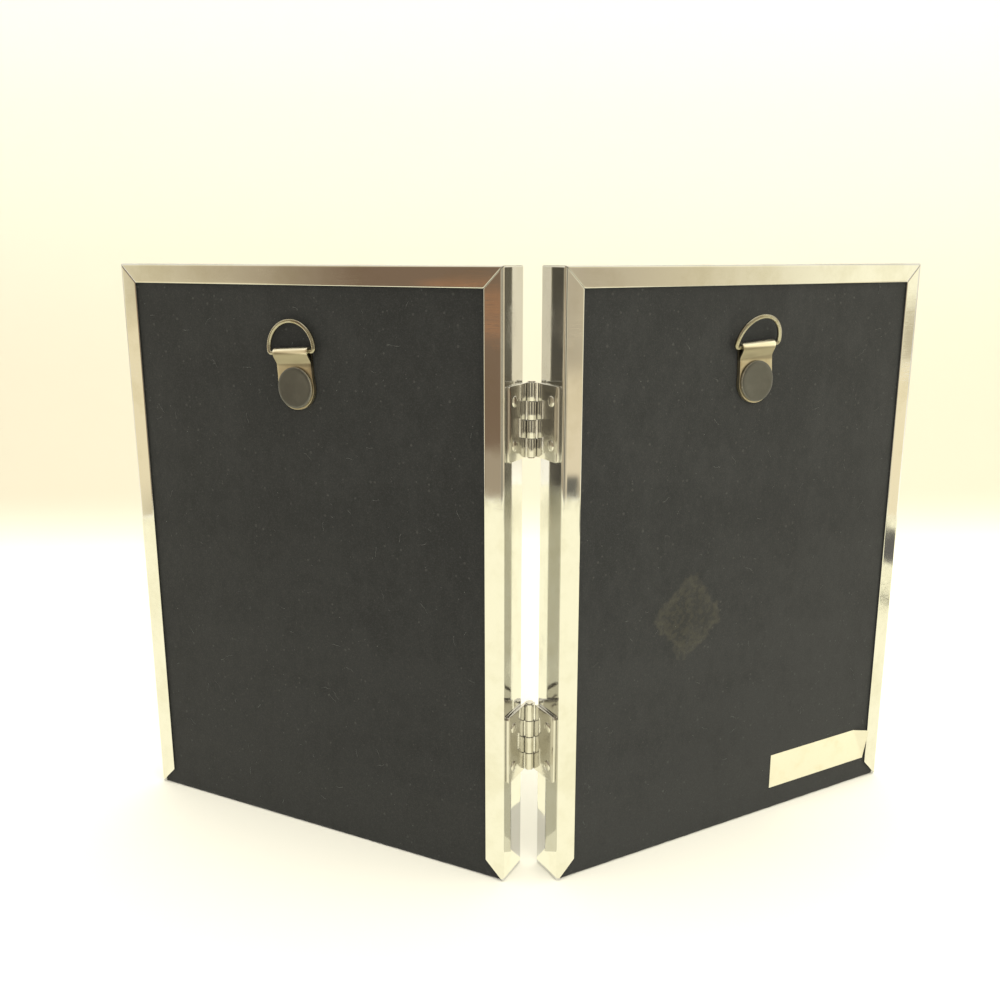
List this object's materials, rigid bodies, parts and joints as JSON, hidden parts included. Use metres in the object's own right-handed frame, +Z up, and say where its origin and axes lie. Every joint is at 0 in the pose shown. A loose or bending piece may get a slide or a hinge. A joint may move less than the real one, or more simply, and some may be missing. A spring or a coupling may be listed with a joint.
{
  "type": "hinged double photo frame",
  "caption": "Slim polished metal double photo frame whose two leaves stand open like a book on small pin hinges, with velvet covered slide-out backs and D ring hangers.",
  "frame": {"origin": "on the table, at the centre of the standing part's footprint", "axes": "+Z up, +X from the left leaf to the right leaf as seen from the backs, +Y from the backs towards the fronts, with the hinge edge at -Y"},
  "size_m": [0.2924, 0.0846, 0.2062],
  "materials": {
    "polished_channel": "polished silver plate",
    "key_steel": "plain galvanised sheet",
    "picture_glass": "clear float glass",
    "insert_paper": "matt plain paper",
    "filler_card": "corrugated card",
    "board_card": "black card",
    "black_velvet": "flocked velvet",
    "hinge_chrome": "bright plated",
    "strap_metal": "nickelled brass",
    "ring_wire": "nickelled brass wire",
    "rivet_metal": "plain",
    "cap_metal": "dark satin lacquer",
    "label_paper": "matt cream paper"
  },
  "bodies": {
    "left_frame": {"left_top_rail": "polished_channel", "left_bottom_rail": "polished_channel", "left_outer_stile": "polished_channel", "left_hinge_stile": "polished_channel", "left_corner_keys": "key_steel", "left_glass": "picture_glass", "left_picture_insert": "insert_paper", "left_filler_card": "filler_card", "left_hinge_rivets": "hinge_chrome", "left_lower_hinge_plate": "hinge_chrome", "left_upper_hinge_plate": "hinge_chrome", "lower_hinge_pin": "hinge_chrome", "upper_hinge_pin": "hinge_chrome"},
    "left_back": {"left_back_board": "board_card", "left_velvet_cover": "black_velvet", "left_hanger_rivet": "rivet_metal", "left_rivet_cap": "cap_metal"},
    "left_strap": {"left_hanger_strap": "strap_metal"},
    "left_ring": {"left_hanger_ring": "ring_wire"},
    "right_frame": {"right_top_rail": "polished_channel", "right_bottom_rail": "polished_channel", "right_outer_stile": "polished_channel", "right_hinge_stile": "polished_channel", "right_corner_keys": "key_steel", "right_glass": "picture_glass", "right_picture_insert": "insert_paper", "right_filler_card": "filler_card", "right_hinge_rivets": "hinge_chrome", "right_lower_hinge_plate": "hinge_chrome", "right_upper_hinge_plate": "hinge_chrome"},
    "right_back": {"right_back_board": "board_card", "right_velvet_cover": "black_velvet", "right_hanger_rivet": "rivet_metal", "right_rivet_cap": "cap_metal", "right_label": "label_paper"},
    "right_strap": {"right_hanger_strap": "strap_metal"},
    "right_ring": {"right_hanger_ring": "ring_wire"}
  },
  "joints": [
    {"name": "fold", "type": "hinge", "parent": "left_frame", "child": "right_frame", "pos_m": [0, -0.02929, 0], "axis": [0, 0, 1], "range_deg": [-57, 125.5]},
    {"name": "left_back_slide", "type": "slide", "parent": "left_frame", "child": "left_back", "axis": [0, 0, -1], "range_m": [0, 0.2062]},
    {"name": "left_strap_swivel", "type": "hinge", "parent": "left_back", "child": "left_strap", "pos_m": [-0.07776, -0.00527, 0.1655], "axis": [0.4695, 0.8829, 0], "continuous": true},
    {"name": "left_ring_swing", "type": "hinge", "parent": "left_strap", "child": "left_ring", "pos_m": [-0.07956, -0.00629, 0.1774], "axis": [0.8809, -0.4684, 0.068], "range_deg": [-3, 165]},
    {"name": "right_back_slide", "type": "slide", "parent": "right_frame", "child": "right_back", "axis": [0, 0, -1], "range_m": [0, 0.2062]},
    {"name": "right_strap_swivel", "type": "hinge", "parent": "right_back", "child": "right_strap", "pos_m": [0.0767, -0.00583, 0.1675], "axis": [-0.4695, 0.8829, 0], "continuous": true},
    {"name": "right_ring_swing", "type": "hinge", "parent": "right_strap", "child": "right_ring", "pos_m": [0.07709, -0.00761, 0.17944], "axis": [0.8815, 0.4687, 0.0576], "range_deg": [-21, 147]}
  ]
}
